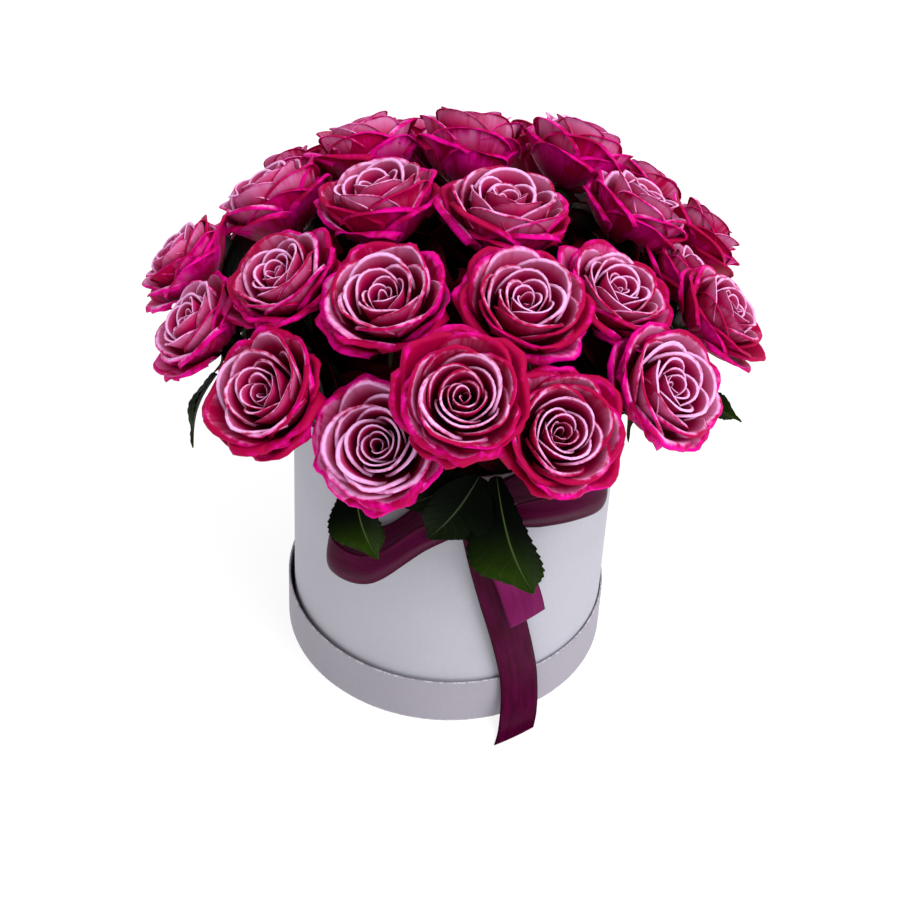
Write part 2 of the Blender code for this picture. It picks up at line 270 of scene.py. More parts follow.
# %% Paper grain
def paper_grain():
    """Group: height of the paper's tooth and how light its fibres are."""
    group, given = new_group("paper_grain", {"Fineness": 1.0})
    at, _ = place_of(group)
    inputs = {0: at, "Scale": given["Fineness"]}
    at = add_node(group, "ShaderNodeVectorMath", inputs, operation="SCALE").outputs[0]
    tooth = noise(group, at, 2600.0, 3.0)
    fibre = noise(group, at, 420.0, 6.0)
    cloud = noise(group, at, 22.0, 2.0)
    return finish_group(group, Tooth=tooth, Fibre=fibre, Cloud=cloud)


GRAIN = paper_grain()


# %% Card skin
def card_material(name, light, dark, rims):
    """Lilac paper over board, paler where its rims are rubbed; rims are heights with their reach."""
    material, tree, shader = new_material(name, 0.62)
    grain = add_node(tree, "ShaderNodeGroup", {"Fineness": 1.0}, node_tree=GRAIN).outputs
    _, (_, _, height) = place_of(tree)
    shade = maths(tree, "MULTIPLY_ADD", grain["Fibre"], 0.5, maths(tree, "MULTIPLY", grain["Cloud"], 0.5))
    colour = mix(tree, soft_step(tree, shade, 0.30, 0.70), dark, light)
    rubbed = 0.0
    for rim, reach in rims:
        away = maths(tree, "ABSOLUTE", maths(tree, "SUBTRACT", height, rim))
        near = soft_step(tree, away, 0.0, reach, 1.0, 0.0)
        rubbed = maths(tree, "MAXIMUM", near, rubbed)
    worn = maths(tree, "MULTIPLY", rubbed, soft_step(tree, grain["Fibre"], 0.42, 0.62))
    colour = mix(tree, maths(tree, "MULTIPLY", worn, 0.55), colour, (0.72, 0.70, 0.74))
    finish_surface(tree, shader, colour, grain["Tooth"], 0.22, 0.0003)
    return material


# %% [markdown]
# ## Lid and box
# Both are cups: a flat round panel and a wall that the paper folds over. A cup is quickest as a profile
# that spins once round the axis. The profile has sharp corners, and a bevel after the spin rolls the paper
# over the rims. The wall stays exactly as thick as the board in the frame.

# %% Lid and box
LID_RADIUS = 0.1000
LID_HEIGHT = 0.0340
LID_WALL = 0.0012
LID_PANEL = 0.0020
BOX_RADIUS = 0.0972
BOX_WALL = 0.0018
BOX_FLOOR = 0.0023
BOX_PANEL = 0.0020
BOX_TOP = 0.2000
BOX_SHIFT = 0.0010
LID_ROUNDING = 0.00045
BOX_ROUNDING = 0.0007
ROUND_STEPS = 144
CARD_LIGHT = (0.455, 0.450, 0.510)
CARD_DARK = (0.425, 0.420, 0.480)
# The lid's paper is a darker copy of the box's card: painted shade, because the low lid gets less light.
LID_PAINTED_SHADE_LIGHT = (0.345, 0.322, 0.378)
LID_PAINTED_SHADE_DARK = (0.318, 0.296, 0.350)


def turned_shell(name, profile, rounding, shift, material):
    """Cup from (radius, height) points, spun round the axis, with its corners rolled over."""
    bm = bmesh.new()
    points = [bm.verts.new((radius, 0.0, height)) for radius, height in profile]
    edges = [bm.edges.new(pair) for pair in zip(points, points[1:])]
    bmesh.ops.spin(bm, geom=points + edges, cent=(0.0, 0.0, 0.0), axis=(0.0, 0.0, 1.0),
                   angle=math.tau, steps=ROUND_STEPS, use_merge=True)
    bmesh.ops.remove_doubles(bm, verts=bm.verts, dist=1e-6)
    bmesh.ops.recalc_face_normals(bm, faces=bm.faces)
    corners = [edge for edge in bm.edges if edge.calc_face_angle(0.0) > math.radians(60)]
    bmesh.ops.bevel(bm, geom=corners, offset=rounding, segments=4, profile=0.5, affect="EDGES",
                    material=-1, clamp_overlap=True)
    bmesh.ops.translate(bm, verts=bm.verts, vec=(shift, 0.0, 0.0))
    shell = add_piece(name, bm, [material])
    weighted = shell.modifiers.new("Even shading", "WEIGHTED_NORMAL")
    weighted.weight = 100
    return shell


# The lid takes the darker card, which is painted shade.
lid_card_painted_shade = card_material("lid_card_painted_shade", LID_PAINTED_SHADE_LIGHT, LID_PAINTED_SHADE_DARK, ((LID_HEIGHT, 0.0012), (0.0, 0.0016)))
box_card = card_material("box_card", CARD_LIGHT, CARD_DARK, ((BOX_TOP, 0.0016),))
lid = turned_shell("card_lid", (
    (0.0, LID_PANEL), (LID_RADIUS - LID_WALL, LID_PANEL), (LID_RADIUS - LID_WALL, LID_HEIGHT),
    (LID_RADIUS, LID_HEIGHT), (LID_RADIUS, 0.0), (0.0, 0.0)), LID_ROUNDING, 0.0, lid_card_painted_shade)
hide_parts("lid")
inner = BOX_RADIUS - BOX_WALL
box = turned_shell("card_box", (
    (0.0, BOX_FLOOR + BOX_PANEL), (inner, BOX_FLOOR + BOX_PANEL), (inner, BOX_TOP),
    (BOX_RADIUS, BOX_TOP), (BOX_RADIUS, BOX_FLOOR), (0.0, BOX_FLOOR)), BOX_ROUNDING, BOX_SHIFT, box_card)
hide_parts("box")
print("lid and box faces:", len(lid.data.polygons), len(box.data.polygons))

# %% [markdown]
# ## Film and foam
# A thin clear-white film keeps the card dry, and the wet foam block fills it. The frame already has both
# shapes, with a hole in the foam for each stem, so they only need their finish: crinkled film, and
# foam that is all tiny pores.


# %% Film and foam finishes
def film_material():
    """Thin film, a little shiny, with soft crinkles."""
    material, tree, shader = new_material("white_film", 0.32)
    at, _ = place_of(tree)
    crinkle = noise(tree, at, 70.0, 4.0)
    colour = mix(tree, crinkle, (0.52, 0.53, 0.58), (0.82, 0.83, 0.87))
    finish_surface(tree, shader, colour, crinkle, 0.6, 0.002)
    return material


def foam_material():
    """Dark wet foam with pores half a millimetre wide."""
    material, tree, shader = new_material("green_foam", 0.9)
    at, _ = place_of(tree)
    pores = add_node(tree, "ShaderNodeTexVoronoi", {"Vector": at, "Scale": 1700.0}).outputs["Distance"]
    patches = noise(tree, at, 90.0, 3.0)
    colour = mix(tree, pores, (0.010, 0.030, 0.012), (0.040, 0.110, 0.040))
    colour = mix(tree, maths(tree, "MULTIPLY", patches, 0.6), colour, (0.012, 0.040, 0.016))
    finish_surface(tree, shader, colour, pores, 0.8, 0.0005)
    return material


for node_name, finish in (("liner", film_material()), ("foam", foam_material())):
    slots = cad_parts[node_name].material_slots
    for slot in slots:
        slot.material = finish
    print(node_name, "has", finish.name)

# %% [markdown]
# ## Petal skin
# The petals change colour along and across: lilac pink at the lips of the bud, hot magenta and crimson on
# the rims and over most of the outer petals. At the foot, where little light reaches, a dark crimson is
# painted in as shade.
# Instead of paint for each of 750 petals, there is one pattern, and each petal carries two maps for it. One
# says where a point is across and along its petal, and the other how far out the petal grows and which
# tone it has.


# %% Petal pattern
def petal_pattern():
    """Group: how far out on its petal a point is, fine veins, blotches, the petal's age, tone and depth."""
    group, given = new_group("petal_pattern", {"Vein reach": 0.44, "Blotch reach": 0.90})
    _, (across, up, _) = place_of(group, "petal")
    _, (age, tone, _) = place_of(group, "age")
    shift = maths(group, "MULTIPLY", tone, 41.0)
    vein_at = stretched(group, maths(group, "MULTIPLY_ADD", across, 15.0, shift),
                        maths(group, "MULTIPLY", up, 2.0), shift)
    vein = noise(group, vein_at, 1.0, 3.0)
    blotch_at = stretched(group, maths(group, "MULTIPLY_ADD", across, 3.0, shift),
                          maths(group, "MULTIPLY", up, 2.6), shift)
    blotch = noise(group, blotch_at, 1.0, 2.0)
    side = maths(group, "ABSOLUTE", maths(group, "MULTIPLY_ADD", across, 2.0, -1.0))
    edge = maths(group, "MAXIMUM", up, maths(group, "MULTIPLY", maths(group, "POWER", side, 2.4), 0.94))
    for value, reach in ((vein, given["Vein reach"]), (blotch, given["Blotch reach"])):
        edge = maths(group, "MULTIPLY_ADD", maths(group, "SUBTRACT", value, 0.5), reach, edge)
    return finish_group(group, Edge=edge, Vein=vein, Blotch=blotch, Age=age, Tone=tone, Depth=up)


PATTERN = petal_pattern()


# %% Petal skins
def petal_material(name, pale, mid, hot, deep, pale_from, edge_bud, edge_outer, painted_foot_shade):
    """Petal skin whose hot rim starts at edge_bud in the bud and at edge_outer on the outermost petals."""
    material, tree, shader = new_material(name, 0.55, gloss=0.06)
    reaches = {"Vein reach": 0.44, "Blotch reach": 0.90}
    pattern = add_node(tree, "ShaderNodeGroup", reaches, node_tree=PATTERN).outputs
    start = soft_step(tree, pattern["Age"], 0.30, 0.95, edge_bud, edge_outer)
    start = maths(tree, "ADD", start, maths(tree, "MULTIPLY_ADD", pattern["Tone"], 0.80, -0.40))
    amount = soft_step(tree, pattern["Edge"], start, maths(tree, "ADD", start, 0.34))
    inner = soft_step(tree, pattern["Age"], 0.30, 0.75, 1.0, 0.0)
    low = maths(tree, "MULTIPLY_ADD", inner, 0.52 - pale_from, pale_from)
    high = maths(tree, "MULTIPLY_ADD", inner, 0.40 - pale_from, pale_from + 0.36)
    body = mix(tree, soft_step(tree, pattern["Depth"], low, high), mid, pale)
    body = mix(tree, soft_step(tree, pattern["Vein"], 0.46, 0.80, 0.0, 0.40), body, mid)
    deepest = maths(tree, "MULTIPLY_ADD", pattern["Tone"], -0.55, -0.03)
    blotched = maths(tree, "ADD", pattern["Blotch"], deepest)
    streaked = maths(tree, "MULTIPLY_ADD", pattern["Vein"], 0.60, blotched)
    rim = mix(tree, soft_step(tree, streaked, 0.34, 0.60), hot, deep)
    colour = mix(tree, amount, body, rim)
    # Painted shade: towards each petal's foot the colour darkens to dark crimson, where little light
    # reaches; the last argument sets how much.
    dark = maths(tree, "MULTIPLY_ADD", inner, 0.17, 0.16)
    foot = soft_step(tree, pattern["Depth"], dark, maths(tree, "MULTIPLY_ADD", inner, 0.06, 0.60), 1.0, 0.0)
    colour = mix(tree, maths(tree, "MULTIPLY", foot, painted_foot_shade), colour, (0.200, 0.000, 0.022))
    finish_surface(tree, shader, colour, pattern["Vein"], 0.22, 0.0005)
    return material


# A grid's own side becomes the petal's back, and the side that Solidify adds becomes its inside
PETAL_SKINS = [
    petal_material("petal_back", (0.95, 0.46, 0.87), (0.53, 0.000, 0.100), (0.86, 0.000, 0.34),
                   (0.44, 0.000, 0.060), pale_from=0.36, edge_bud=0.84, edge_outer=0.04, painted_foot_shade=0.60),
    petal_material("petal_inside", (0.95, 0.50, 0.90), (0.49, 0.000, 0.090), (0.82, 0.000, 0.31),
                   (0.42, 0.000, 0.056), pale_from=0.42, edge_bud=0.88, edge_outer=0.26, painted_foot_shade=1.0),
    # The rim skin is lighter than the faces in its mid and deep tones and has no dark foot: a painted
    # highlight along the petals' cut edges.
    petal_material("petal_rim_painted_highlight", (0.86, 0.36, 0.72), (0.72, 0.12, 0.40), (0.80, 0.010, 0.36),
                   (0.50, 0.000, 0.12), pale_from=0.42, edge_bud=0.84, edge_outer=0.24, painted_foot_shade=0.0),
]
print("petal skins:", [skin.name for skin in PETAL_SKINS])

# %% [markdown]
# ## One petal
# A rose head is a bud of rolled petals with wider petals laid round it, each starting a golden angle
# (137.5 degrees) after the one before, which is how the plant itself spaces them. A petal rises from its
# foot as a cup, and its lip rolls outwards. In the bud the lip makes a small even roll. Outside, the
# sides roll under further than the middle, and that leaves the point that garden roses show. Copies of one
# sculpted petal would all be alike, so a few sizes that change outwards, with some chance, describe them
# all. They are shares of the head's radius, because the roses differ in size.

# %% Petal sizes
PETALS = 30
OUTER_SHARE = 0.92
GOLDEN_ANGLE = math.radians(137.5)
PETAL_FOOT = -0.86
PETAL_THICKNESS = 0.00045
BODY_SHARE = 0.58
PETAL_GRID = (14, 12)
# Foot radius, lip radius, lip height, half angle, roll radius, curl and flare at six even steps outwards
STAGES = (
    (0.02, 0.045, 0.30, 120, 0.012, 85, 0.00),
    (0.04, 0.25, 0.49, 106, 0.020, 110, 0.00),
    (0.08, 0.49, 0.53, 80, 0.030, 120, 0.03),
    (0.13, 0.69, 0.40, 64, 0.046, 130, 0.12),
    (0.18, 0.80, 0.10, 58, 0.076, 145, 0.19),
    (0.22, 0.80, -0.20, 54, 0.072, 145, 0.26),
)
STAGE_NAMES = ("foot", "lip", "top", "half", "roll", "curl", "flare")


def petal_shape(age, chance):
    """Sizes of one petal, from the bud's centre at age 0 to the outermost at age 1."""
    step = age * (len(STAGES) - 1)
    index = min(len(STAGES) - 2, int(step))
    pairs = zip(STAGE_NAMES, STAGES[index], STAGES[index + 1])
    shape = {name: between(low, high, step - index) for name, low, high in pairs}
    outer = smooth(0.45, 1.0, age)
    shape["lip"] += chance.uniform(-0.02, 0.02)
    shape["top"] += chance.uniform(-0.06, 0.06)
    shape["half"] = math.radians(shape["half"]) * chance.uniform(0.86, 1.08)
    shape["roll"] *= chance.uniform(0.75, 1.25)
    shape["curl"] = math.radians(shape["curl"]) * chance.uniform(0.85, 1.10)
    shape["flare"] *= chance.uniform(0.6, 1.2)
    shape["wave"] = between(0.004, 0.042, outer) * chance.uniform(0.5, 1.5)
    shape["ruffle"] = between(0.002, 0.016, outer) * chance.uniform(0.5, 1.5)
    shape["turns"] = chance.uniform(1.2, 2.6)
    shape["phase"] = chance.uniform(0.0, math.tau)
    shape["point"] = between(0.05, 0.50, outer) * chance.uniform(0.4, 1.4)
    shape["taper"] = between(0.02, 0.22, outer) * chance.uniform(0.7, 1.2)
    shape["peak"] = between(0.01, 0.10, smooth(0.20, 0.80, age)) * chance.uniform(0.4, 1.3)
    shape["tuck"] = between(0.17, 0.06, age) + chance.uniform(-0.03, 0.03)
    shape["tone"] = chance.random()
    return shape


# %% Surface of a petal
def petal_point(u, v, shape):
    """Place of the point (u, v) of a petal: u from -1 to 1 across, v from 0 at its foot to 1 at its lip."""
    side = abs(u)
    rise = min(1.0, v / BODY_SHARE) * (1 - 0.30 * side ** 2.6)
    width = 0.62 + 0.38 * math.sin(math.pi / 2 * min(1.0, rise / 0.7))
    width *= 1 - shape["taper"] * smooth(BODY_SHARE * 0.8, 1.0, v)
    angle = shape["half"] * u * width
    tall = shape["top"] - PETAL_FOOT
    reach = between(shape["foot"], shape["lip"], 1 - (1 - rise) ** 2.4) + shape["flare"] * rise ** 3
    height = PETAL_FOOT + tall * rise ** 1.15
    start = math.atan2(3 * shape["flare"], 1.15 * tall)
    ripple = math.sin(shape["turns"] * math.pi * u + shape["phase"]) * smooth(0.2, BODY_SHARE, v)
    if v > BODY_SHARE:
        share = (v - BODY_SHARE) / (1 - BODY_SHARE)
        curl = shape["curl"] * share * (1 - shape["point"] * (1 - smooth(0.0, 0.55, side)))
        radius = shape["roll"] * (1.15 - 0.35 * side)
        reach += radius * (math.cos(start) - math.cos(start + curl))
        height += radius * (math.sin(start + curl) - math.sin(start))
    reach += shape["roll"] * 0.7 * smooth(0.60, 1.0, side) * smooth(0.15, 0.8, rise)
    reach += shape["wave"] * ripple + shape["peak"] * (1 - side) ** 1.6 * rise ** 3
    reach += shape["ruffle"] * math.sin(13 * u + 3 * shape["phase"]) * smooth(0.5, 1.0, v)
    reach *= 1 + shape["tuck"] * u
    height += 0.6 * shape["wave"] * ripple
    return Vector((reach * math.cos(angle), reach * math.sin(angle), height))


# %% [markdown]
# ## The blooms
# Each head stands where the frame has it and faces away from one point in the box, as cut roses do when
# their stems fan out. A petal is a grid that petal_point bends. Extruding each one would give it a wall
# too, but one Solidify modifier gives all petals their thickness, their inside and their rim at once.

# %% Roses of the frame
HEAD_FOCUS = 0.1000
# The buds lean a little to the side that the picture shows, by this share of the head's radius
CAMERA_TILT = math.radians(41.7)
SHOWN_SIDE = around(0, math.cos(CAMERA_TILT), math.sin(CAMERA_TILT))
BUD_LEAN = 0.45
BUD_LEAN_FULL = 0.3
BLOOM_SEED = 100
# Small heads spread their outer petals further, by this much for each metre below the large size
SMALL_SPREAD = 20.0
LARGE_HEAD = 0.0640
# azimuth, distance, height, head diameter, turn, foam ring radius, paleness of its outer petals
ROSES = (
    (-20, 0.120, 0.236, 0.064, 20, 0.076, 0.75),
    (2, 0.125, 0.284, 0.064, 200, 0.056, 0.15),
    (27, 0.129, 0.254, 0.064, 100, 0.076, 0.20),
    (-50, 0.138, 0.248, 0.067, 290, 0.076, 0.30),
    (61, 0.136, 0.248, 0.066, 60, 0.076, 0.62),
    (-40, 0.066, 0.289, 0.065, 140, 0.034, 0.35),
    (34, 0.064, 0.293, 0.066, 250, 0.034, 0.30),
    (-80, 0.104, 0.274, 0.057, 10, 0.056, 0.50),
    (78, 0.090, 0.277, 0.055, 330, 0.034, 0.40),
    (-85, 0.153, 0.233, 0.051, 80, 0.076, 0.62),
    (91, 0.152, 0.249, 0.051, 180, 0.076, 0.30),
    (109, 0.144, 0.239, 0.045, 40, 0.076, 0.30),
    (-104, 0.170, 0.239, 0.050, 270, 0.076, 0.55),
    (-129, 0.066, 0.289, 0.068, 120, 0.034, 0.45),
    (142, 0.037, 0.295, 0.070, 220, 0.013, 0.40),
    (-124, 0.140, 0.259, 0.062, 350, 0.056, 0.60),
    (126, 0.128, 0.267, 0.056, 30, 0.056, 0.55),
    (124, 0.173, 0.237, 0.047, 160, 0.076, 0.30),
    (-152, 0.136, 0.271, 0.058, 280, 0.056, 0.50),
    (180, 0.128, 0.273, 0.065, 70, 0.056, 0.50),
    (152, 0.142, 0.273, 0.060, 190, 0.056, 0.55),
    (-142, 0.174, 0.231, 0.050, 310, 0.076, 0.35),
    (-168, 0.178, 0.231, 0.054, 110, 0.076, 0.35),
    (165, 0.182, 0.232, 0.053, 230, 0.076, 0.35),
    (142, 0.176, 0.233, 0.052, 330, 0.076, 0.35),
)


def head_frame(azimuth, distance, height):
    """Centre of a rose's head and the way it faces."""
    centre = around(azimuth, distance, height)
    return centre, (centre - Vector((0.0, 0.0, HEAD_FOCUS))).normalized()


# %% Rose heads
def petal_place(shape, radius, spun, lean, inward):
    """Petal of this shape on its head; the further in it grows, the more it leans with the bud."""

    def place(u, v):
        point = petal_point(u, v, shape)
        lifted = inward * smooth(PETAL_FOOT, BUD_LEAN_FULL, point.z)
        return spun @ (radius * point) + lean * lifted

    return place


def make_bloom(name, centre, axis, radius, spin, paleness, seed):
    """Rose head with all its petals, each a thin closed sheet."""
    chance = random.Random(seed)
    bm = bmesh.new()
    petal_map = bm.loops.layers.uv.new("petal")
    age_map = bm.loops.layers.uv.new("age")
    place = Matrix.Translation(centre) @ facing(axis) @ Matrix.Rotation(math.radians(spin), 4, "Z")
    lean = radius * BUD_LEAN * (SHOWN_SIDE - axis * axis.dot(SHOWN_SIDE))
    spread = 1 + SMALL_SPREAD * (LARGE_HEAD - 2 * radius)
    for index in range(PETALS):
        age = ((index + 0.5) / PETALS) ** OUTER_SHARE
        shape = petal_shape(age, chance)
        tone = 0.40 * shape["tone"] + 0.60 * paleness
        inward = 1 - smooth(0.25, 1.0, age)
        for part in ("lip", "flare"):
            shape[part] *= between(1.0, spread, smooth(0.5, 1.0, age))
        spun = place @ Matrix.Rotation(index * GOLDEN_ANGLE + chance.uniform(-0.15, 0.15), 4, "Z")
        maps = ((petal_map, lambda u, v: ((u + 1) / 2, v)), (age_map, lambda u, v: (age, tone)))
        bent_grid(bm, *PETAL_GRID, petal_place(shape, radius, spun, lean, inward), maps)
    bloom = add_piece(name, bm, PETAL_SKINS)
    wall = add_thickness(bloom, PETAL_THICKNESS)
    wall.material_offset = 1
    wall.material_offset_rim = 2
    return bloom


for number, (azimuth, distance, height, size, spin, ring, paleness) in enumerate(ROSES, 1):
    centre, axis = head_frame(azimuth, distance, height)
    seed = BLOOM_SEED + number
    bloom = make_bloom(f"rose_{number:02d}_petals", centre, axis, size / 2, spin, paleness, seed)
    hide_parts(f"rose_{number:02d}_bloom")
print("petals in all:", PETALS * len(ROSES))

# %% [markdown]
# ## Green skins
# Stems, hips and sepals are plain fresh green with darker flecks. A leaf has a pale midrib with side
# veins that leave it at an angle and bend towards the tip, and the blade swells a little between them.
# Young leaves are dark red, as new rose foliage is, and their dark red also stands as painted shade in the
# gaps between the heads. A leaf in shade gets a near-black skin, a painted shade. The veins could be a
# picture, but bands worked out from the leaf's own map stay sharp at any size and follow its folds.


# %% Leaf and stem finishes
def leaf_material(name, dark, light, rib):
    """Dark rose leaf with a pale midrib and side veins, and painted shade towards its stalk."""
    material, tree, shader = new_material(name, 0.50, gloss=0.02)
    at, (across, up, _) = place_of(tree, "leaf")
    side = maths(tree, "ABSOLUTE", maths(tree, "MULTIPLY_ADD", across, 2.0, -1.0))
    slant = maths(tree, "SUBTRACT", maths(tree, "MULTIPLY", up, 9.0), maths(tree, "MULTIPLY", side, 1.9))
    wave = maths(tree, "ABSOLUTE", maths(tree, "SUBTRACT", maths(tree, "FRACT", slant), 0.5))
    veins = soft_step(tree, wave, 0.0, 0.09, 1.0, 0.0)
    midrib = soft_step(tree, side, 0.012, 0.040, 1.0, 0.0)
    patches = noise(tree, at, 7.0, 4.0)
    blade = mix(tree, patches, dark, light)
    blade = mix(tree, maths(tree, "MULTIPLY", veins, 0.18), blade, rib)
    # Painted shade: the blade darkens to near black towards its stalk end, which lies under the heads.
    blade = mix(tree, soft_step(tree, up, 0.30, 1.00), (0.0006, 0.0016, 0.0005), blade)
    colour = mix(tree, midrib, blade, rib)
    height = maths(tree, "SUBTRACT", patches, maths(tree, "MAXIMUM", veins, midrib))
    finish_surface(tree, shader, colour, height, 0.35, 0.0006)
    return material


def stem_material(name, light, dark):
    """Green skin with flecks along it."""
    material, tree, shader = new_material(name, 0.5, gloss=0.2)
    at, _ = place_of(tree)
    flecks = noise(tree, at, 380.0, 4.0)
    finish_surface(tree, shader, mix(tree, flecks, dark, light), flecks, 0.3, 0.0004)
    return material


LEAF, SEPAL, SHADE_PAINTED_LEAF, YOUNG_GAP_SHADE = range(4)
GREEN_SKINS = [
    leaf_material("rose_leaf", (0.006, 0.018, 0.0003), (0.028, 0.066, 0.0003), (0.066, 0.110, 0.030)),
    stem_material("sepal_green", (0.050, 0.075, 0.020), (0.014, 0.024, 0.006)),
    # A near-black copy of the leaf skin for leaves that lie in shadow: painted shade.
    leaf_material("shade_painted_leaf", (0.002, 0.004, 0.0010), (0.006, 0.012, 0.0015), (0.034, 0.048, 0.024)),
    # Dark red skin for the young leaves that fill the shaded gaps between the heads: partly new foliage,
    # partly painted shade.
    leaf_material("young_leaf_gap_shade", (0.060, 0.0006, 0.006), (0.130, 0.0010, 0.0160), (0.050, 0.004, 0.008)),
]
STEM_SKIN = stem_material("stem_green", (0.030, 0.062, 0.014), (0.010, 0.024, 0.005))
print("green skins:", [skin.name for skin in GREEN_SKINS])

# %% [markdown]
# ## Stems
# A stem leaves its hole in the foam, bends outwards above the rim and swells into the hip under the
# bloom. A curve with a round section could make it, but its hip would need a second piece. Extruding one
# ring from point to point gives both in one closed piece. Small cones make the prickles.

# %% Stems with their hips and prickles
FOAM_TOP = 0.1650
STEM_RADIUS = 0.0026
STEM_FOOT = 0.1050
STEM_SLANT = 0.18
STEM_BEND = 0.1990
STEM_HANDLE = 0.0260
STEM_SIDES = 14
HIP_RADIUS = 0.0062
HIP_LENGTH = 0.0090
FRAME_GAP = 0.0007
PRICKLE_LENGTH = 0.0030
PRICKLE_FOOT = 0.0011
STEM_SEED = 900


def stem_points(azimuth, ring, centre, axis, size):
    """Points of a stem's middle line with their radii, and the top of its hip."""
    rise = FOAM_TOP - STEM_FOOT
    foot = around(azimuth, ring * (1 - STEM_SLANT), STEM_FOOT)
    bend = around(azimuth, ring * (1 + STEM_SLANT * (STEM_BEND - FOAM_TOP) / rise), STEM_BEND)
    top = centre + axis * (PETAL_FOOT * size / 2 - FRAME_GAP)
    collar = top - axis * HIP_LENGTH
    first = bend + (bend - foot).normalized() * STEM_HANDLE
    second = collar - axis * STEM_HANDLE
    points = [foot, foot.lerp(bend, 0.5), bend]
    for step in range(1, 9):
        t = step / 8
        back = 1 - t
        points.append(bend * back ** 3 + first * 3 * back ** 2 * t
                      + second * 3 * back * t ** 2 + collar * t ** 3)
    radii = [STEM_RADIUS] * len(points)
    for share, radius in ((0.12, 0.62), (0.28, 0.86), (0.50, 0.98), (0.75, 1.0), (1.0, 0.94)):
        points.append(collar.lerp(top, share))
        radii.append(HIP_RADIUS * radius)
    return points, radii, top


def add_rod(bm, points, radii):
    """Closed round rod, made by extruding one ring from point to point."""
    ring = bmesh.ops.create_circle(bm, cap_ends=True, radius=1.0, segments=STEM_SIDES)["verts"]
    cap = ring[0].link_faces[0]
    before = Matrix.Identity(4)
    for index, (point, radius) in enumerate(zip(points, radii)):
        ahead = points[min(len(points) - 1, index + 1)]
        behind = points[max(0, index - 1)]
        place = Matrix.Translation(point) @ facing(ahead - behind) @ Matrix.Scale(radius, 4)
        if index:
            new = bmesh.ops.extrude_face_region(bm, geom=[cap])["geom"]
            cap = [item for item in new if isinstance(item, bmesh.types.BMFace)][0]
        bmesh.ops.transform(bm, matrix=place @ before.inverted(), verts=cap.verts)
        before = place


def add_prickle(bm, point, out, along_stem):
    """Small cone on the stem that points a little downwards."""
    made = bmesh.ops.create_cone(bm, cap_ends=True, segments=6, radius1=PRICKLE_FOOT, radius2=0.0001,
                                 depth=PRICKLE_LENGTH)
    turn = facing((out - 0.35 * along_stem).normalized())
    place = Matrix.Translation(point + out * (STEM_RADIUS + PRICKLE_LENGTH * 0.35)) @ turn
    bmesh.ops.transform(bm, matrix=place, verts=made["verts"])


def make_stem(name, points, radii, seed):
    """One stem with its hip and prickles."""
    chance = random.Random(seed)
    bm = bmesh.new()
    add_rod(bm, points, radii)
    for index in (4, 6, 8):
        run = (points[index + 1] - points[index]).normalized()
        out = run.orthogonal().normalized()
        out.rotate(Matrix.Rotation(chance.uniform(0.0, math.tau), 3, run))
        add_prickle(bm, points[index], out, run)
    bmesh.ops.recalc_face_normals(bm, faces=bm.faces)
    return add_piece(name, bm, [STEM_SKIN])


# %% [markdown]
# ## Sepals and leaves
# Five sepals hang from each hip: narrow green tongues with a long tip that curls. The leaves that show at
# the rim of the box are broad, toothed and folded along the midrib, and those that lie in shadow get a
# near-black skin, a painted shade. Young leaves, small and dark red like new rose foliage, stand under the
# heads and close the gaps between them, where there is only shade: they are dark sheets of painted shade.
# Leaves could be flat cut-outs, but their folds and teeth catch the light, so each is a bent grid, and
# Solidify gives the thickness.

# %% Sizes and places of sepals and leaves
SEPALS = 5
SEPAL_LENGTH = 0.56
SEPAL_DROOP = math.radians(30)
SEPAL_WIDTH = 0.0030
LEAF_TEETH = 15
LEAF_THICKNESS = 0.0004
GREEN_SEED = 500
# Rose number, skin, stalk base, tip, half width, belly, roll and fold of the leaves over the rim
RIM_LEAVES = (
    (3, LEAF, (0.025, -0.1115, 0.2165), (0.050, -0.126, 0.1415), 0.0218, 1.20, 30, 0.50),
    # This leaf gets the near-black skin: painted shade.
    (2, SHADE_PAINTED_LEAF, (0.0155, -0.113, 0.217), (-0.011, -0.125, 0.179), 0.0215, 0.95, 0, 0.22),
    (1, LEAF, (-0.053, -0.103, 0.196), (-0.0385, -0.1225, 0.1585), 0.0195, 1.00, 0, 0.30),
    (10, LEAF, (-0.138, -0.030, 0.210), (-0.150, -0.056, 0.175), 0.015, 0.90, 0, 0.22),
    (5, LEAF, (0.134, -0.036, 0.212), (0.164, -0.049, 0.211), 0.011, 0.80, 0, 0.22),
    (23, LEAF, (-0.050, 0.132, 0.198), (-0.066, 0.150, 0.150), 0.017, 0.90, 0, 0.22),
    (24, LEAF, (0.030, 0.134, 0.199), (0.024, 0.158, 0.152), 0.016, 1.00, 0, 0.22),
    (22, LEAF, (-0.128, 0.082, 0.200), (-0.158, 0.080, 0.168), 0.015, 0.85, 0, 0.22),
    # A second near-black leaf fills shade behind the first: a dark sheet where there is only shade, which
    # is painted shade.
    (2, SHADE_PAINTED_LEAF, (0.0075, -0.1123, 0.2165), (-0.0265, -0.118, 0.1965), 0.015, 0.90, 0, 0.22),
)
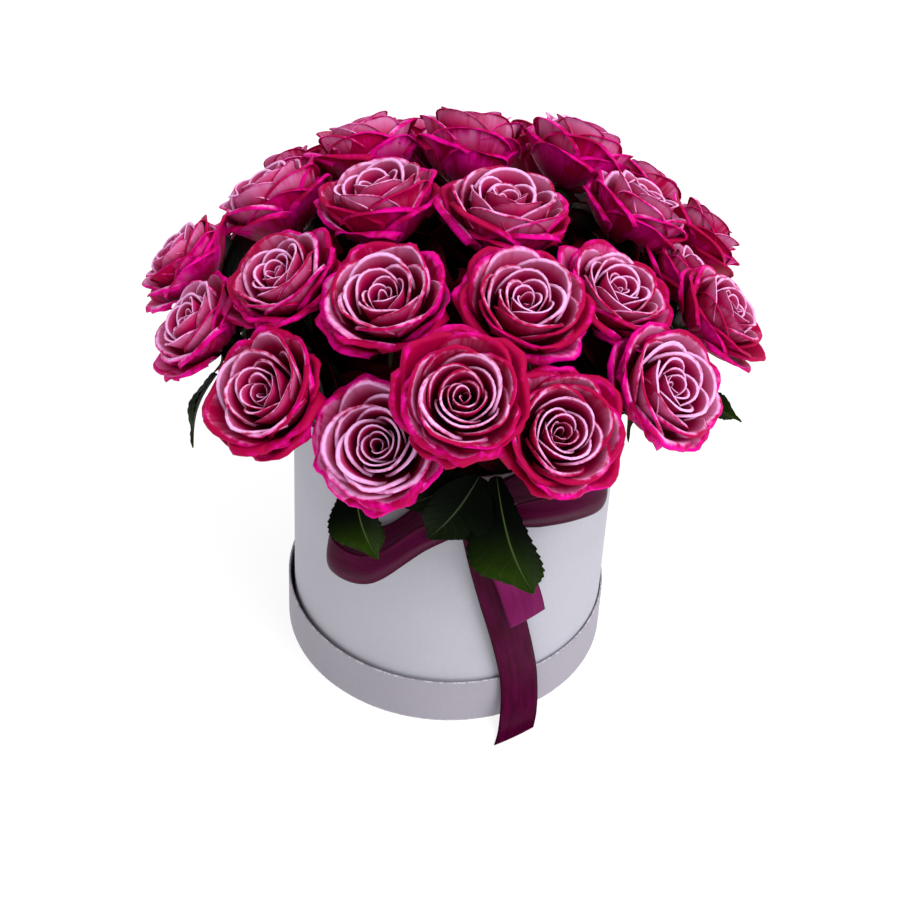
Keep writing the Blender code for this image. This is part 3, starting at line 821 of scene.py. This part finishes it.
# These dark red leaves fill gaps that show only shade, so they are painted shade.
# Rose number, stalk base and tip of the young leaves between the heads, and what they have in common
GAP_LEAVES = (
    (8, (-0.078, -0.014, 0.226), (-0.106, 0.024, 0.214)),
    (21, (0.056, 0.139, 0.226), (0.096, 0.160, 0.216)),
    (16, (-0.076, 0.119, 0.226), (-0.114, 0.091, 0.214)),
    (13, (-0.128, 0.056, 0.222), (-0.152, 0.092, 0.216)),
    (10, (-0.122, -0.020, 0.224), (-0.138, 0.030, 0.216)),
    (11, (0.120, 0.012, 0.224), (0.136, 0.054, 0.216)),
    (15, (0.006, 0.130, 0.240), (-0.042, 0.133, 0.233)),
)
GAP_LEAF = (0.017, 0.90, 0, 0.22)
LEAVES = RIM_LEAVES + tuple((owner, YOUNG_GAP_SHADE, base, tip, *GAP_LEAF) for owner, base, tip in GAP_LEAVES)
print("leaves over the rim:", len(RIM_LEAVES), "between the heads:", len(GAP_LEAVES))


# %% Bends of sepals and leaves
def sepal_place(matrix, length, curl):
    """Sepal that leaves the hip sideways, droops and curls up at its tip."""

    def place(u, v):
        half = SEPAL_WIDTH * (1 - v) ** 0.75 * (1 + 0.25 * math.sin(9 * v))
        droop = SEPAL_DROOP + curl * v ** 2
        reach = length * v * math.cos(droop * 0.9)
        down = length * v * math.sin(droop * 0.9)
        gutter = 0.5 * half * u * u
        return matrix @ Vector((HIP_RADIUS * 0.55 + reach, half * u, gutter - down))

    return place


def leaf_place(base, tip, half_width, belly=0.85, roll=0.0, fold=0.22):
    """Toothed leaf, folded and rolled about its midrib; a larger belly moves the wide part to the tip."""
    run = tip - base
    side = run.cross(Vector((base.x, base.y, 0.0))).normalized()
    side.rotate(Matrix.Rotation(math.radians(roll), 3, run.normalized()))
    face = side.cross(run).normalized()

    def place(u, v):
        outline = math.sin(math.pi * min(0.985, 0.05 + 0.94 * v) ** belly) ** 0.8
        outline *= 1 - 0.40 * smooth(0.65, 0.96, v)
        tooth = (v * LEAF_TEETH) % 1.0
        teeth = 1.0 + 0.09 * smooth(0.6, 1.0, abs(u)) * (tooth - 0.35)
        bow = 0.10 * run.length * math.sin(math.pi * v)
        gutter = fold * half_width * abs(u) ** 1.2 * outline
        quilt = 0.0005 * abs(math.sin(math.pi * (9.0 * v - 1.9 * abs(u)))) * abs(u) ** 0.5
        wave = 0.0009 * math.sin(11 * v + 2 * u) * abs(u) ** 2
        lift = bow + gutter + quilt + wave
        return base + run * v + side * (u * half_width * outline * teeth) + face * lift

    return place


# %% Greens of one rose
def inner_leaves(points, centre, chance):
    """Bases and tips of the small leaves below a bloom, spread sideways in the shade under the heads."""
    out = (centre - Vector((0.0, 0.0, HEAD_FOCUS))).normalized()
    found = []
    for index in (4, 6, 7, 8, 9, 10):
        way = out.orthogonal().normalized()
        way.rotate(Matrix.Rotation(chance.uniform(0.0, math.tau), 3, out))
        if way.z < 0.0:
            way = -way
        length = chance.uniform(0.042, 0.058)
        base = points[index] + way * STEM_RADIUS
        found.append((base, base + (way - 0.12 * out) * length, length * 0.37))
    return found


def make_greens(number, top, axis, size, points):
    """Sepals and leaves of one rose."""
    chance = random.Random(GREEN_SEED + number)
    bm = bmesh.new()
    maps = ((bm.loops.layers.uv.new("leaf"), lambda u, v: ((u + 1) / 2, v)),)
    collar = Matrix.Translation(top - axis * HIP_LENGTH * 0.35) @ facing(axis)
    for index in range(SEPALS):
        angle = math.tau * index / SEPALS + chance.uniform(-0.15, 0.15)
        matrix = collar @ Matrix.Rotation(angle, 4, "Z")
        length = SEPAL_LENGTH * size / 2 * chance.uniform(0.9, 1.1)
        bent_grid(bm, 4, 14, sepal_place(matrix, length, chance.uniform(-0.9, 0.3)), maps, SEPAL)
    for owner, skin, base, tip, *shape in LEAVES:
        if owner == number:
            bent_grid(bm, 14, 4 * LEAF_TEETH, leaf_place(Vector(base), Vector(tip), *shape), maps, skin)
    # The small leaves under each head take the dark red skin, which fills the shade between the heads as
    # painted shade.
    for base, tip, half_width in inner_leaves(points, top, chance):
        bent_grid(bm, 6, 2 * LEAF_TEETH, leaf_place(base, tip, half_width), maps, YOUNG_GAP_SHADE)
    greens = add_piece(f"rose_{number:02d}_leaves", bm, GREEN_SKINS)
    add_thickness(greens, LEAF_THICKNESS)
    return greens


# %% Stems and greens of all roses
green_faces = 0
for number, (azimuth, distance, height, size, spin, ring, paleness) in enumerate(ROSES, 1):
    centre, axis = head_frame(azimuth, distance, height)
    points, radii, top = stem_points(azimuth, ring, centre, axis, size)
    stem = make_stem(f"rose_{number:02d}_stalk", points, radii, STEM_SEED + number)
    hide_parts(f"rose_{number:02d}_stem")
    green_faces += len(make_greens(number, top, axis, size, points).data.polygons)
print("stems:", len(ROSES), "faces of their sepals and leaves:", green_faces)

# %% [markdown]
# ## Satin
# The ribbon is plum satin. Its threads run across and along less than half a millimetre apart, too fine
# to see as threads but enough to spread the light, and the woven edges are slightly darker. Two sine waves
# make such a weave more evenly than noise would. The map on each ribbon is in millimetres, so that the
# weave has its real size on every piece.

# %% Satin finish
RIBBON_WIDTH = 0.0250
RIBBON_THICKNESS = 0.0005
# In millimetres, as the ribbon's map is
HALF_WIDTH_MM = RIBBON_WIDTH * 500
WEFT_PITCH = 0.45
WARP_PITCH = 0.30


def satin_weave():
    """Group: height of the weave, soft streaks along the threads and a mask of the woven edges."""
    group, given = new_group("satin_weave", {"Streaks": 0.35})
    _, (across, run, _) = place_of(group, "ribbon")
    weft = maths(group, "SINE", maths(group, "MULTIPLY", run, math.tau / WEFT_PITCH))
    warp = maths(group, "SINE", maths(group, "MULTIPLY", across, math.tau / WARP_PITCH))
    weave = maths(group, "ADD", weft, maths(group, "MULTIPLY", warp, 0.35))
    streak_at = stretched(group, maths(group, "MULTIPLY", across, given["Streaks"]),
                          maths(group, "MULTIPLY", run, 0.05), 3.0)
    streak = noise(group, streak_at, 1.0, 2.0)
    middle = maths(group, "ABSOLUTE", maths(group, "SUBTRACT", across, HALF_WIDTH_MM))
    selvedge = soft_step(group, middle, 11.4, 12.0)
    return finish_group(group, Weave=weave, Streak=streak, Selvedge=selvedge)


WEAVE = satin_weave()


def satin_material(name, deep, bright, edge):
    """Plum satin of two close shades, darker at its woven edges."""
    material, tree, shader = new_material(name, 0.36, gloss=0.03)
    weave = add_node(tree, "ShaderNodeGroup", {"Streaks": 0.35}, node_tree=WEAVE).outputs
    colour = mix(tree, soft_step(tree, weave["Streak"], 0.30, 0.70), deep, bright)
    colour = mix(tree, weave["Selvedge"], colour, edge)
    finish_surface(tree, shader, colour, weave["Weave"], 0.20, 0.00008)
    return material


PLUM = satin_material(
    "plum_satin_deep", (0.044, 0.0001, 0.014), (0.070, 0.0004, 0.028), (0.030, 0.0001, 0.010))
# A lighter copy of the same plum satin for the short tail: a painted sheen.
PLUM_PAINTED_SHEEN = satin_material(
    "plum_satin_painted_sheen", (0.130, 0.004, 0.062), (0.170, 0.008, 0.085), (0.09, 0.001, 0.04))
print("satins:", PLUM.name, PLUM_PAINTED_SHEEN.name)

# %% [markdown]
# ## The bow
# A bow is one ribbon: two loops pinched in a knot, and two tails. Each part is a strip whose middle line
# follows the places in the frame. The loops lie against the wall, turn over at their ends and come back
# in front. Small folds run from the pinch, because satin can't be gathered without them. A cloth run
# could drape such strips, but a bent grid keeps the ribbon's width and course as the picture shows them.

# %% Course of the ribbons
WALL_LINE = BOX_RADIUS + BOX_SHIFT + 0.0003
KNOT_AZIMUTH = 9.0
KNOT_HEIGHT = 0.1860
KNOT_SIZE = (0.0150, 0.0110, 0.0230)
LOOP_DEPTH = 0.0290
LOOP_PUFF = 0.0040
LONG_TAIL = (
    (10.0, 0.104, 0.1735), (14.0, 0.104, 0.138), (18.5, 0.103, 0.105), (22.5, 0.1025, 0.078),
    (26.0, 0.102, 0.052), (28.0, 0.102, 0.033), (28.0, 0.105, 0.016), (26.0, 0.112, 0.004),
    (23.0, 0.121, 0.0015))
SHORT_TAIL = (
    (11.0, 0.1075, 0.1735), (17.0, 0.110, 0.150), (22.0, 0.111, 0.124), (26.5, 0.1115, 0.093))


# %% Bends of the ribbons
def loop_place(end_azimuth, heights, rise, drop):
    """One bow loop: out along the wall, turned over at its end and back to the knot lower in front."""
    # A height three times over makes a point, which is what along() takes
    levels = [(height,) * 3 for height in (KNOT_HEIGHT, *heights)]

    def place(u, v):
        turn = 0.015 + 0.97 * v
        share = math.sin(math.pi * turn)
        depth = LOOP_DEPTH * math.sin(math.pi * turn / 2) ** 2 * (0.55 + 0.45 * share)
        level = along(levels, share).z
        azimuth = KNOT_AZIMUTH + (end_azimuth - KNOT_AZIMUTH) * share
        spread = 0.55 + 0.45 * min(1.0, share * 2.5)
        front = smooth(0.30, 0.70, turn)
        level += between(rise, -drop, front) * smooth(0.15, 0.80, share)
        pinch = 0.0016 * math.cos(4.5 * u + 0.6) * (1 - share)
        slack = 0.0018 * math.sin(2.2 * math.pi * v + 1.8 * u) * share
        puff = LOOP_PUFF * (1 - u * u) * share
        distance = WALL_LINE + 0.0008 + depth + front * (pinch + slack + puff + 0.0015)
        return around(azimuth, distance, level + u * RIBBON_WIDTH / 2 * spread)

    return place


def tail_place(line, slant, drape):
    """One ribbon tail along its middle line, its end cut on a slant."""
    down = (around(*line[-1]) - around(*line[-2])).normalized()

    def place(u, v):
        azimuth, distance, height = along(line, v)
        turn = math.degrees(RIBBON_WIDTH / 2 / distance)
        free = smooth(0.0, 0.25, v) * (1 - smooth(0.75, 1.0, v))
        wave = drape * free * (math.sin(7 * v + 1.5 * u) + 1.0)
        point = around(azimuth + u * turn, distance + wave, height)
        return point - down * (u * slant * v ** 6)

    return place


# %% Ribbon strips
def make_ribbon(name, across, rows, place, material):
    """Ribbon strip with its map in millimetres; it prints its own length."""
    middle = [place(0.0, row / rows) for row in range(rows + 1)]
    steps = [(b - a).length for a, b in zip(middle, middle[1:])]
    length = sum(steps)
    bm = bmesh.new()
    ribbon_map = bm.loops.layers.uv.new("ribbon")
    maps = ((ribbon_map, lambda u, v: ((u + 1) * HALF_WIDTH_MM, v * length * 1000)),)
    bent_grid(bm, across, rows, place, maps)
    ribbon = add_piece(name, bm, [material])
    add_thickness(ribbon, RIBBON_THICKNESS)
    print(name, "is", round(length * 1000), "mm of ribbon")
    return ribbon


left_bend = loop_place(-36.0, (0.1745, 0.1430, 0.1385), rise=0.0035, drop=0.0015)
left_loop = make_ribbon("left_loop", 16, 90, left_bend, PLUM)
right_bend = loop_place(49.0, (0.1895, 0.1880, 0.1840), rise=0.004, drop=0.002)
right_loop = make_ribbon("right_loop", 16, 90, right_bend, PLUM)
long_bend = tail_place(LONG_TAIL, slant=0.003, drape=0.0004)
long_tail = make_ribbon("long_ribbon", 12, 80, long_bend, PLUM)
short_bend = tail_place(SHORT_TAIL, slant=0.004, drape=0.0006)
# The short tail takes the lighter satin, which is a painted sheen.
short_tail = make_ribbon("short_ribbon", 12, 40, short_bend, PLUM_PAINTED_SHEEN)
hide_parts("long_tail")
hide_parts("short_tail")

# %% [markdown]
# ## The knot
# A short band of the same satin is wrapped round the middle of the bow. It could be a strip wound round,
# but two leaves hide all but its outline. So it starts as a rounded block, cut into small faces, and a wave
# pushes these in and out, which gives the pleats of the wrapped band.

# %% Knot
PLEAT_WAVES = 34.0


def make_knot():
    """Wrapped band of satin round the middle of the bow."""
    bm = bmesh.new()
    ribbon_map = bm.loops.layers.uv.new("ribbon")
    bmesh.ops.create_cube(bm, size=1.0)
    bmesh.ops.bevel(bm, geom=bm.edges[:], offset=0.30, segments=6, profile=0.5, affect="EDGES", material=-1)
    bmesh.ops.subdivide_edges(bm, edges=bm.edges, cuts=3, use_grid_fill=True)
    for vertex in bm.verts:
        pleat = 1.0 + 0.05 * math.cos(PLEAT_WAVES * vertex.co.x) - 0.10 * (2 * vertex.co.z) ** 2
        vertex.co.y *= pleat
    for face in bm.faces:
        for loop in face.loops:
            loop[ribbon_map].uv = ((loop.vert.co.x + 0.5) * 25, loop.vert.co.z * 23)
    bmesh.ops.scale(bm, verts=bm.verts, vec=KNOT_SIZE)
    middle = around(KNOT_AZIMUTH, WALL_LINE + KNOT_SIZE[1] / 2 + 0.0004, KNOT_HEIGHT)
    place = Matrix.Translation(middle) @ Matrix.Rotation(math.radians(KNOT_AZIMUTH), 4, "Z")
    bmesh.ops.transform(bm, matrix=place, verts=bm.verts)
    return add_piece("bow_knot", bm, [PLUM])


knot = make_knot()
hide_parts("bow")
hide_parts("bow")
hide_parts("bow")
print("faces of the knot:", len(knot.data.polygons))

# %% [markdown]
# ## Floor
# The picture is a cut-out on white with no shadow. A plain white floor would turn grey under soft light,
# so this one glows a little of its own, which keeps it white and leaves only a faint shadow.

# %% Floor
FLOOR_SIZE = 6.0
FLOOR_DROP = 0.0004
FLOOR_GLOW = 0.82
floor_paper, tree, shader = new_material("floor_paper", 0.9)
shader.inputs["Emission Color"].default_value = (1.0, 1.0, 1.0, 1.0)
shader.inputs["Emission Strength"].default_value = FLOOR_GLOW
grain = add_node(tree, "ShaderNodeGroup", {"Fineness": 1.0}, node_tree=GRAIN).outputs
pale = mix(tree, grain["Cloud"], (0.25, 0.25, 0.25), (0.27, 0.27, 0.27))
finish_surface(tree, shader, pale, grain["Tooth"], 0.05, 0.0002)
bm = bmesh.new()
bmesh.ops.create_grid(bm, x_segments=1, y_segments=1, size=FLOOR_SIZE)
floor = new_object("floor", new_mesh("floor", bm, [floor_paper]))
floor.location.z = -FLOOR_DROP
floor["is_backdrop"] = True
print("floor:", floor.name)

# %% [markdown]
# ## Light
# The real light was soft and stronger from the upper right: the card goes gently from dark on the left to
# light on the right. Area lamps would light near parts more than far ones, so there are two wide suns, one
# from the right and one from behind. The world is white for the camera and dimmer as a light.

# %% Light
WORLD_LIGHT = 0.54
world = bpy.data.worlds.new("soft_white")
bpy.context.scene.world = world
world.use_nodes = True
seen = add_node(world.node_tree, "ShaderNodeLightPath").outputs["Is Camera Ray"]
strength = maths(world.node_tree, "MULTIPLY_ADD", seen, 1.0 - WORLD_LIGHT, WORLD_LIGHT)
background = world.node_tree.nodes["Background"]
background.inputs["Color"].default_value = (1.0, 1.0, 1.0, 1.0)
world.node_tree.links.new(strength, background.inputs["Strength"])


def add_sun(name, azimuth, elevation, strength, spread):
    """Even light from a far lamp; a wide spread gives soft shadows."""
    lamp = bpy.data.lights.new(name, "SUN")
    lamp.energy = strength
    lamp.angle = math.radians(spread)
    holder = new_object(name, lamp)
    way = -around(azimuth, math.cos(math.radians(elevation)), math.sin(math.radians(elevation)))
    holder.matrix_world = way.to_track_quat("-Z", "Y").to_matrix().to_4x4()


add_sun("key", azimuth=52, elevation=44, strength=2.2, spread=45)
add_sun("top", azimuth=180, elevation=68, strength=0.9, spread=60)
print("world light:", WORLD_LIGHT)

# %% [markdown]
# ## Camera
# The rims of the lid and the box are circles, and their shape in the picture gives the camera's tilt,
# distance and slight roll. A look-at constraint knows no roll, so the three are set as a matrix.

# %% Camera
CAMERA_ROLL = math.radians(3.1)
CAMERA_DISTANCE = 1.402
LENS_LENGTH = 92.0
SENSOR_WIDTH = 36.0
LOOK_AT = Vector((-0.0014, 0.0, 0.1341))
ahead = Vector((0.0, math.cos(CAMERA_TILT), -math.sin(CAMERA_TILT)))
level = Vector((1.0, 0.0, 0.0))
above = level.cross(ahead)
right = math.cos(CAMERA_ROLL) * level + math.sin(CAMERA_ROLL) * above
up = -math.sin(CAMERA_ROLL) * level + math.cos(CAMERA_ROLL) * above
lens = bpy.data.cameras.new("camera")
lens.lens = LENS_LENGTH
lens.sensor_width = SENSOR_WIDTH
camera = new_object("camera", lens)
turn = Matrix((right, up, -ahead)).transposed().to_4x4()
camera.matrix_world = Matrix.Translation(LOOK_AT - ahead * CAMERA_DISTANCE) @ turn
bpy.context.scene.camera = camera
bpy.context.scene.view_settings.view_transform = "Standard"
print("camera at", [round(value, 3) for value in camera.matrix_world.translation])

# %% [markdown]
# ## Sizes
# The dressed object is measured against the frame, to show how much it grew.

# %% Sizes
visual_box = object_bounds()
growth = [round(1000 * (v - c), 1) for pair in zip(CAD_BOX, visual_box) for c, v in zip(*pair)]
print("size grew by", growth, "mm")
